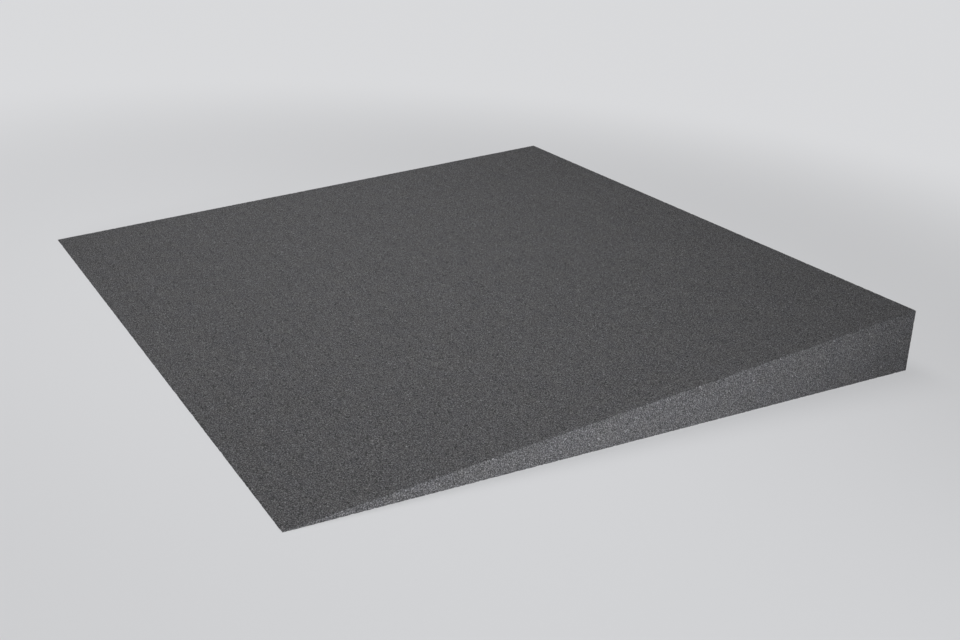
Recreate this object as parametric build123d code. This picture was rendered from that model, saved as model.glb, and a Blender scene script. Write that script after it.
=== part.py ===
"""An expanded-polystyrene foam wedge, one solid piece.

A square foam board is sliced corner to corner with a straight hot wire, which leaves a right-angled
wedge: the board's own face is the sloping top, both ends and both sides are square to that top, and the
wire-cut face is the base that the wedge lies on.

Frame: origin at the middle of the base, +X from the feather edge towards the thick end, +Y across the
width, +Z up. The base lies in z = 0. Millimetres.
"""

import math
import os

from build123d import *

# Driving dimensions
TOP_LENGTH = 600.0  # along the slope, from the feather edge to the thick end
WIDTH = 600.0  # across the slope
THICK_END = 60.0  # height of the thick end face, square to the top
FEATHER_EDGE = 0.5  # what the wire leaves at the thin end, square to the top

# What follows from them
TAPER_DEG = math.degrees(math.atan2(THICK_END - FEATHER_EDGE, TOP_LENGTH))
BASE_LENGTH = math.hypot(TOP_LENGTH, THICK_END - FEATHER_EDGE)


def wedge_section():
    """The wedge seen from its side, base on the X axis and centred on the origin."""
    board = Polyline(
        (0, 0),
        (TOP_LENGTH, 0),
        (TOP_LENGTH, -THICK_END),
        (0, -FEATHER_EDGE),
        close=True,
    )
    face = make_face(board)
    lift_cut_face = Pos(-BASE_LENGTH / 2, 0) * Rot(0, 0, TAPER_DEG) * Pos(0, FEATHER_EDGE)
    return lift_cut_face * face


def foam_wedge():
    """The section stood up in the XZ plane and drawn out across the width."""
    upright = Plane.XZ * wedge_section()
    return extrude(upright, amount=WIDTH / 2, both=True)


def main():
    os.makedirs("parts", exist_ok=True)
    export_step(foam_wedge(), "parts/foam_wedge.step")


main()
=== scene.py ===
"""Looks for the expanded-polystyrene foam wedge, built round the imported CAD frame.

The wedge is one block of graphite-grey bead foam. Its skin is a closed mesh with softened, slightly crumbled
arrises, and its material slices a solid field of beads, so the grain runs on from face to face.
"""

import math

import bmesh
import bpy
from mathutils import Matrix, Vector, geometry, noise


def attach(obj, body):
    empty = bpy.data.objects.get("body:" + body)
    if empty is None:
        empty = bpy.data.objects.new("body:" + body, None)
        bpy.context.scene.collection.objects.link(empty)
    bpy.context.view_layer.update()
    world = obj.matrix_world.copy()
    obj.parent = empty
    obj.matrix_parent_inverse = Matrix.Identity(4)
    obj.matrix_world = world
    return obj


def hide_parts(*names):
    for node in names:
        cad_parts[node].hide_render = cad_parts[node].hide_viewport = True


MM = 0.001
BEAD = 1.6 * MM  # mean distance between beads in the block

# How a face of the skin is divided: rows of points run along each arris, closer together near it
ARRIS_ROWS = ((0.4, 1.0), (1.2, 1.5), (3.0, 2.8))  # (distance from the arris, spacing along it), mm
ARRIS_SPACING = 1.0 * MM  # on the arris itself
FIELD_SPACING = 6.0 * MM  # over the rest of a face
WELD = 0.02 * MM

ARRIS_RADIUS = 0.25 * MM  # mean softening of an arris
RADIUS_SPREAD = 0.15 * MM
CRUMBLE = 0.28 * MM  # the most that a bead torn off an arris takes with it
CRUMBLE_REACH = 1.6 * MM
WIRE_WAVE = 0.04 * MM  # how far the hot wire wanders
WIRE_WAVE_LENGTH = 45 * MM

FIELD_MARGIN = 0.6  # share of the field spacing kept clear of the innermost row
RADIUS_WAVE_LENGTH = 3 * BEAD
TORN_FROM = 0.1  # noise above this tears a bead off an arris
TORN_RISE = 2.5  # how fast the tear then deepens
TORN_OFFSET = Vector((7, 3, 1))  # parts the torn beads' noise from the radius noise

BEAD_RELIEF = 0.22 * MM  # how far a bead stands above the pits round it
COOL_GREY = (0.108, 0.108, 0.116, 1)
WARM_GREY = (0.116, 0.114, 0.113, 1)

LIT_PAPER = (0.64, 0.645, 0.66, 1)  # the studio floor where light falls on it
SEEN_PAPER = (0.72, 0.725, 0.74, 1)  # the even colour that the camera sees it as
SHADOW_REACH = (0.45, 1.1)  # the even colour takes over between these distances, in metres
EVEN_SHARE = (0.60, 0.95)  # its share at each of them

LENS = 41.93
CAMERA_AZIMUTH = -33.6
CAMERA_ELEVATION = 22.629
CAMERA_DISTANCE = 1.05
CAMERA_TARGET = Vector((0, -0.052, 0))
CAMERA_ROLL = 4.5


# ---------------------------------------------------------------- node helpers


def add_node(tree, kind, settings=None, **inputs):
    """A node with its settings made. Each input is a value or another node's output."""
    node = tree.nodes.new("ShaderNode" + kind)
    for name, value in (settings or {}).items():
        setattr(node, name, value)
    for name, value in inputs.items():
        socket = node.inputs[int(name[1:])] if name[1:].isdigit() else node.inputs[name]
        if isinstance(value, bpy.types.NodeSocket):
            tree.links.new(value, socket)
        else:
            socket.default_value = value
    return node


def scaled(tree, value, low, high, to_low, to_high):
    """value carried smoothly from the range low..high to the range to_low..to_high."""
    node = tree.nodes.new("ShaderNodeMapRange")
    node.interpolation_type = "SMOOTHSTEP"
    tree.links.new(value, node.inputs["Value"])
    ends = {"From Min": low, "From Max": high, "To Min": to_low, "To Max": to_high}
    for name, end in ends.items():
        node.inputs[name].default_value = end
    return node.outputs["Result"]


def times(tree, first, second):
    return add_node(tree, "Math", {"operation": "MULTIPLY"}, _0=first, _1=second).outputs[0]


def plus(tree, first, second):
    return add_node(tree, "Math", {"operation": "ADD"}, _0=first, _1=second).outputs[0]


def speckle(tree, place, size, detail):
    """Soft noise from 0 to 1 whose features are about this size."""
    node = add_node(tree, "TexNoise", None, Vector=place, Scale=1 / size, Detail=detail)
    return node.outputs["Fac"]


# ---------------------------------------------------------------- camera and studio


def around(azimuth, elevation):
    """The direction from the wedge to something seen at this azimuth and elevation, in degrees."""
    a, e = math.radians(azimuth), math.radians(elevation)
    return Vector((math.sin(a) * math.cos(e), -math.cos(a) * math.cos(e), math.sin(e)))


def add_camera():
    """A normal lens above the feather edge's near corner, rolled a little, as the wedge is pictured."""
    data = bpy.data.cameras.new("camera")
    data.sensor_width = 36.0
    data.lens = LENS
    data.clip_start = 0.01
    data.clip_end = 100.0
    camera = bpy.data.objects.new("camera", data)
    bpy.context.scene.collection.objects.link(camera)
    back = around(CAMERA_AZIMUTH, CAMERA_ELEVATION)
    camera.location = CAMERA_TARGET + back * CAMERA_DISTANCE
    camera.rotation_mode = "QUATERNION"
    roll = Matrix.Rotation(math.radians(CAMERA_ROLL), 3, "Z").to_quaternion()
    camera.rotation_quaternion = (-back).to_track_quat("-Z", "Y") @ roll
    bpy.context.scene.camera = camera


def add_softbox(name, azimuth, elevation, distance, aim, width, height, watts, colour, spread=180):
    """A rectangular area lamp. Its spread in degrees is narrowed by a grid over the box."""
    data = bpy.data.lights.new(name, "AREA")
    data.shape = "RECTANGLE"
    data.size = width
    data.size_y = height
    data.energy = watts
    data.color = colour
    data.spread = math.radians(spread)
    lamp = bpy.data.objects.new(name, data)
    lamp.location = around(azimuth, elevation) * distance
    lamp.rotation_mode = "QUATERNION"
    lamp.rotation_quaternion = (Vector(aim) - lamp.location).to_track_quat("-Z", "Y")
    lamp.visible_camera = False
    bpy.context.scene.collection.objects.link(lamp)


def add_lights():
    """A low soft key in front, aimed at the thin half, a soft lamp overhead and an even surround."""
    add_softbox(
        "key",
        azimuth=-8,
        elevation=10,
        distance=1.15,
        aim=(-0.1, 0, 0.02),
        width=0.7,
        height=0.3,
        watts=1.32,
        colour=(0.97, 0.98, 1.0),
        spread=55,
    )
    add_softbox(
        "top",
        azimuth=210,
        elevation=80,
        distance=0.9,
        aim=(-0.5, 0.2, 0.02),
        width=0.7,
        height=0.6,
        watts=5.3,
        colour=(1.0, 1.0, 1.0),
    )
    world = bpy.data.worlds.new("studio")
    world.use_nodes = True
    background = world.node_tree.nodes["Background"]
    background.inputs["Color"].default_value = (1, 1, 1, 1)
    background.inputs["Strength"].default_value = 0.25
    bpy.context.scene.world = world


def add_floor():
    """A round studio floor that curves up into a backdrop on every side, so any view has a pale ground."""
    flat, curve, rise, turns = 2.6, 1.2, 1.2, 96
    profile = [Vector((0, 0, 0)), Vector((flat, 0, 0))]
    for i in range(1, 13):
        a = math.radians(90 * i / 12)
        profile.append(Vector((flat + curve * math.sin(a), 0, curve * (1 - math.cos(a)))))
    profile.append(profile[-1] + Vector((0, 0, rise)))
    bm = bmesh.new()
    line = [bm.verts.new(p) for p in profile]
    edges = [bm.edges.new(pair) for pair in zip(line, line[1:])]
    bmesh.ops.spin(
        bm, geom=line + edges, cent=(0, 0, 0), axis=(0, 0, 1), angle=math.tau, steps=turns
    )
    bmesh.ops.remove_doubles(bm, verts=bm.verts, dist=MM)
    bmesh.ops.recalc_face_normals(bm, faces=bm.faces)
    mesh = bpy.data.meshes.new("studio_floor")
    bm.to_mesh(mesh)
    bm.free()
    mesh.polygons.foreach_set("use_smooth", [True] * len(mesh.polygons))
    floor = bpy.data.objects.new("studio_floor", mesh)
    bpy.context.scene.collection.objects.link(floor)
    floor.data.materials.append(floor_material())


def blend_colour(tree, share, first, second):
    """first where share is 0, second where it is 1."""
    node = add_node(tree, "Mix", {"data_type": "RGBA"}, _0=share, _6=first, _7=second)
    return node.outputs[2]


def floor_material():
    """Plain pale paper. It is seen mostly as its own even colour, with part of the real light on it near
    the wedge, where its shadow falls."""
    material = bpy.data.materials.new("studio_paper")
    material.use_nodes = True
    tree = material.node_tree
    paper = tree.nodes["Principled BSDF"]
    paper.inputs["Base Color"].default_value = LIT_PAPER
    paper.inputs["Roughness"].default_value = 0.9
    paper.inputs["Specular IOR Level"].default_value = 0.2
    glow = add_node(tree, "Emission", None, Color=SEEN_PAPER).outputs[0]

    place = add_node(tree, "TexCoord").outputs["Object"]
    reach = add_node(tree, "VectorMath", {"operation": "LENGTH"}, _0=place).outputs["Value"]
    share = scaled(tree, reach, *SHADOW_REACH, *EVEN_SHARE)
    rays = add_node(tree, "LightPath").outputs
    mirrored = plus(tree, rays["Is Glossy Ray"], rays["Is Transmission Ray"])
    direct = add_node(
        tree, "Math", {"operation": "ADD", "use_clamp": True}, _0=rays["Is Camera Ray"], _1=mirrored
    ).outputs[0]
    mixed = add_node(
        tree, "MixShader", None, _0=times(tree, share, direct), _1=paper.outputs[0], _2=glow
    )
    tree.links.new(mixed.outputs[0], tree.nodes["Material Output"].inputs["Surface"])
    return material


# ---------------------------------------------------------------- the wedge's skin


def cad_section(node):
    """The CAD wedge's corners in the XZ plane, anticlockwise from the feather edge, and half its width."""
    corners = {(round(v.co.x, 6), round(v.co.z, 6)) for v in node.data.vertices}
    middle = sum((Vector(c) for c in corners), Vector((0, 0))) / len(corners)
    ring = sorted(corners, key=lambda c: math.atan2(c[1] - middle.y, c[0] - middle.x))
    return ring, max(v.co.y for v in node.data.vertices)


def block_faces(node):
    """The block's six flat faces, each a loop of corners that runs anticlockwise seen from outside."""
    ring, half = cad_section(node)
    near = [Vector((x, -half, z)) for x, z in ring]
    far = [Vector((x, half, z)) for x, z in ring]
    faces = [near, far[::-1]]
    for i in range(len(ring)):
        j = (i + 1) % len(ring)
        faces.append([near[j], near[i], far[i], far[j]])
    return faces


def steps(length, spacing):
    """Distances from 0 up to, and not including, length, as near as possible to the spacing."""
    count = max(1, round(length / spacing))
    return [length * i / count for i in range(count)]


def depth_in(point, outline):
    """How far a point is inside each side of a flat convex outline."""
    depths = []
    for i, corner in enumerate(outline):
        side = (outline[(i + 1) % len(outline)] - corner).normalized()
        depths.append(side.x * (point.y - corner.y) - side.y * (point.x - corner.x))
    return depths


def row_points(outline, inset, spacing):
    """Points along lines set in from each side of an outline, where they are no nearer to another side."""
    points = []
    for i, corner in enumerate(outline):
        side = outline[(i + 1) % len(outline)] - corner
        along = side.normalized()
        inward = Vector((-along.y, along.x))
        for step in steps(side.length, spacing):
            point = corner + along * (step + spacing / 2) + inward * inset
            if min(depth_in(point, outline)) > inset * 0.98:
                points.append(point)
    return points


def field_points(outline, margin):
    """A triangular lattice of points over an outline, kept clear of its sides by the margin."""
    low = Vector(map(min, zip(*outline)))
    high = Vector(map(max, zip(*outline)))
    points = []
    row_height = FIELD_SPACING * math.sqrt(3) / 2
    for row, y in enumerate(steps(high.y - low.y, row_height)):
        for x in steps(high.x - low.x, FIELD_SPACING):
            point = Vector((low.x + x + (row % 2) * FIELD_SPACING / 2, low.y + y))
            if min(depth_in(point, outline)) > margin:
                points.append(point)
    return points


def tile_face(corners, vertices, triangles):
    """Divides one flat face into triangles and adds them to the lists."""
    origin = corners[0]
    across = (corners[1] - origin).normalized()
    normal = across.cross(corners[-1] - origin).normalized()
    up = normal.cross(across)
    outline = [Vector(((c - origin).dot(across), (c - origin).dot(up))) for c in corners]
    points = []
    for i, corner in enumerate(outline):
        side = outline[(i + 1) % len(outline)] - corner
        points += [corner + side.normalized() * s for s in steps(side.length, ARRIS_SPACING)]
    rim = [(i, (i + 1) % len(points)) for i in range(len(points))]
    for inset, spacing in ARRIS_ROWS:
        points += row_points(outline, inset * MM, spacing * MM)
    points += field_points(outline, ARRIS_ROWS[-1][0] * MM + FIELD_SPACING * FIELD_MARGIN)
    flat, _, tiles, *_ = geometry.delaunay_2d_cdt(points, rim, [], 1, WELD / 10)
    start = len(vertices)
    vertices += [origin + across * p.x + up * p.y for p in flat]
    triangles += [[start + i for i in tile] for tile in tiles]


def face_planes(faces):
    """A point on each face and the direction into the block from it."""
    planes = []
    for corners in faces:
        outward = (corners[1] - corners[0]).cross(corners[-1] - corners[0]).normalized()
        planes.append((corners[0], -outward))
    return planes


def worn(point, planes):
    """Where a point of the sharp block lies once its arrises are softened and its faces have been cut."""
    inward = [(direction, (point - place).dot(direction)) for place, direction in planes]
    moved = point.copy()
    wave = 0.5 + 0.5 * noise.noise(point / WIRE_WAVE_LENGTH)
    for direction, depth in inward:
        if depth < WELD:
            moved += direction * WIRE_WAVE * wave
    radius = ARRIS_RADIUS + RADIUS_SPREAD * noise.noise(point / RADIUS_WAVE_LENGTH)
    short = [direction * max(0, radius - depth) for direction, depth in inward]
    lack = sum((s.length_squared for s in short)) ** 0.5
    if lack > radius:
        moved += sum(short, Vector()) / lack * (lack - radius)
    depths = sorted(depth for _, depth in inward)
    torn = noise.noise(point / BEAD + TORN_OFFSET) - TORN_FROM
    if torn > 0 and depths[1] < CRUMBLE_REACH:
        near = sum((d * (CRUMBLE_REACH - x) for d, x in inward if x < CRUMBLE_REACH), Vector())
        bite = min(1, torn * TORN_RISE) * (1 - depths[1] / CRUMBLE_REACH)
        moved += near.normalized() * CRUMBLE * bite
    return moved


def build_wedge(node):
    """A closed, finely divided copy of the CAD wedge, worn at its arrises."""
    faces = block_faces(node)
    vertices, triangles = [], []
    for corners in faces:
        tile_face(corners, vertices, triangles)
    planes = face_planes(faces)
    bm = bmesh.new()
    points = [bm.verts.new(v) for v in vertices]
    for tile in triangles:
        bm.faces.new([points[i] for i in tile])
    bmesh.ops.remove_doubles(bm, verts=bm.verts, dist=WELD)
    for vert in bm.verts:
        vert.co = worn(vert.co, planes)
    bmesh.ops.recalc_face_normals(bm, faces=bm.faces)
    for face in bm.faces:
        face.smooth = True
    print("skin: open edges", sum(not e.is_manifold for e in bm.edges), "faces", len(bm.faces))
    mesh = bpy.data.meshes.new("foam_block")
    bm.to_mesh(mesh)
    bm.free()
    wedge = bpy.data.objects.new("foam_block", mesh)
    bpy.context.scene.collection.objects.link(wedge)
    wedge.data.materials.append(foam_material())
    return wedge


# ---------------------------------------------------------------- the foam's material


def foam_material():
    """Graphite-grey beads fused together: each has its own tone, with painted shade in the pits between them
    and sparse painted glints.
    """
    material = bpy.data.materials.new("graphite_eps")
    material.use_nodes = True
    tree = material.node_tree
    shader = tree.nodes["Principled BSDF"]
    place = add_node(tree, "TexCoord").outputs["Object"]
    packing = {"Vector": place, "Scale": 1 / BEAD, "Randomness": 1.0}
    beads = add_node(tree, "TexVoronoi", {"feature": "F1"}, **packing)
    walls = add_node(tree, "TexVoronoi", {"feature": "DISTANCE_TO_EDGE"}, **packing)
    seams = walls.outputs["Distance"]
    lots = add_node(tree, "SeparateColor", None, Color=beads.outputs["Color"]).outputs

    bead_tone = scaled(tree, lots["Red"], 0, 1, 0.96, 1.04)
    # painted shade: the colour darkens to 0.4 at the walls between beads, standing in for the shade in the
    # pits there
    painted_pit_shade = scaled(tree, seams, 0.0, 0.14, 0.40, 1.07)
    worm = speckle(tree, place, 0.95 * MM, 0)
    ripple = scaled(tree, worm, 0.30, 0.70, 0.50, 1.50)
    fine = speckle(tree, place, 0.5 * MM, 1)
    grain = scaled(tree, fine, 0.25, 0.75, 0.75, 1.25)
    # painted glints: sparse bright specks lift the colour up to 1.8 times, standing in for highlights off
    # the beads
    painted_glint = scaled(tree, speckle(tree, place, 1.6 * MM, 0), 0.72, 0.80, 1.0, 1.8)
    mottle = scaled(tree, speckle(tree, place, 30 * MM, 3), 0.3, 0.7, 0.98, 1.02)
    bead = times(tree, times(tree, bead_tone, ripple), times(tree, painted_pit_shade, painted_glint))
    tone = times(tree, bead, times(tree, grain, mottle))
    hue = speckle(tree, place, 14 * MM, 2)
    tint = blend_colour(tree, hue, COOL_GREY, WARM_GREY)
    colour = add_node(
        tree, "VectorMath", {"operation": "SCALE"}, Vector=tint, Scale=tone
    ).outputs["Vector"]
    tree.links.new(colour, shader.inputs["Base Color"])

    rough = scaled(tree, lots["Blue"], 0, 1, 0.62, 0.86)
    tree.links.new(rough, shader.inputs["Roughness"])
    shader.inputs["Specular IOR Level"].default_value = 0.15

    dome = scaled(tree, seams, 0.0, 0.25, 0.0, 0.5)
    height = plus(tree, dome, plus(tree, worm, times(tree, fine, 0.4)))
    bump = add_node(tree, "Bump", None, Height=height, Distance=BEAD_RELIEF, Strength=1.0)
    tree.links.new(bump.outputs["Normal"], shader.inputs["Normal"])
    return material


# ---------------------------------------------------------------- the scene


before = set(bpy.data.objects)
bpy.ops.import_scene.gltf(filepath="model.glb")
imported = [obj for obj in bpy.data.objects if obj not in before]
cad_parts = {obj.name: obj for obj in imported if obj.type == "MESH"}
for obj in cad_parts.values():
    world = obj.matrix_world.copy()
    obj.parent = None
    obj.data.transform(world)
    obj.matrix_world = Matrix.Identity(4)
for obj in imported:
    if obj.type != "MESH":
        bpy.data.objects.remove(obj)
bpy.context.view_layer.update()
scene = bpy.context.scene
scene.view_settings.view_transform = "Standard"
add_camera()
add_lights()
add_floor()
block = build_wedge(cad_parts["foam_wedge"])
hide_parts("foam_wedge")
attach(block, "root")
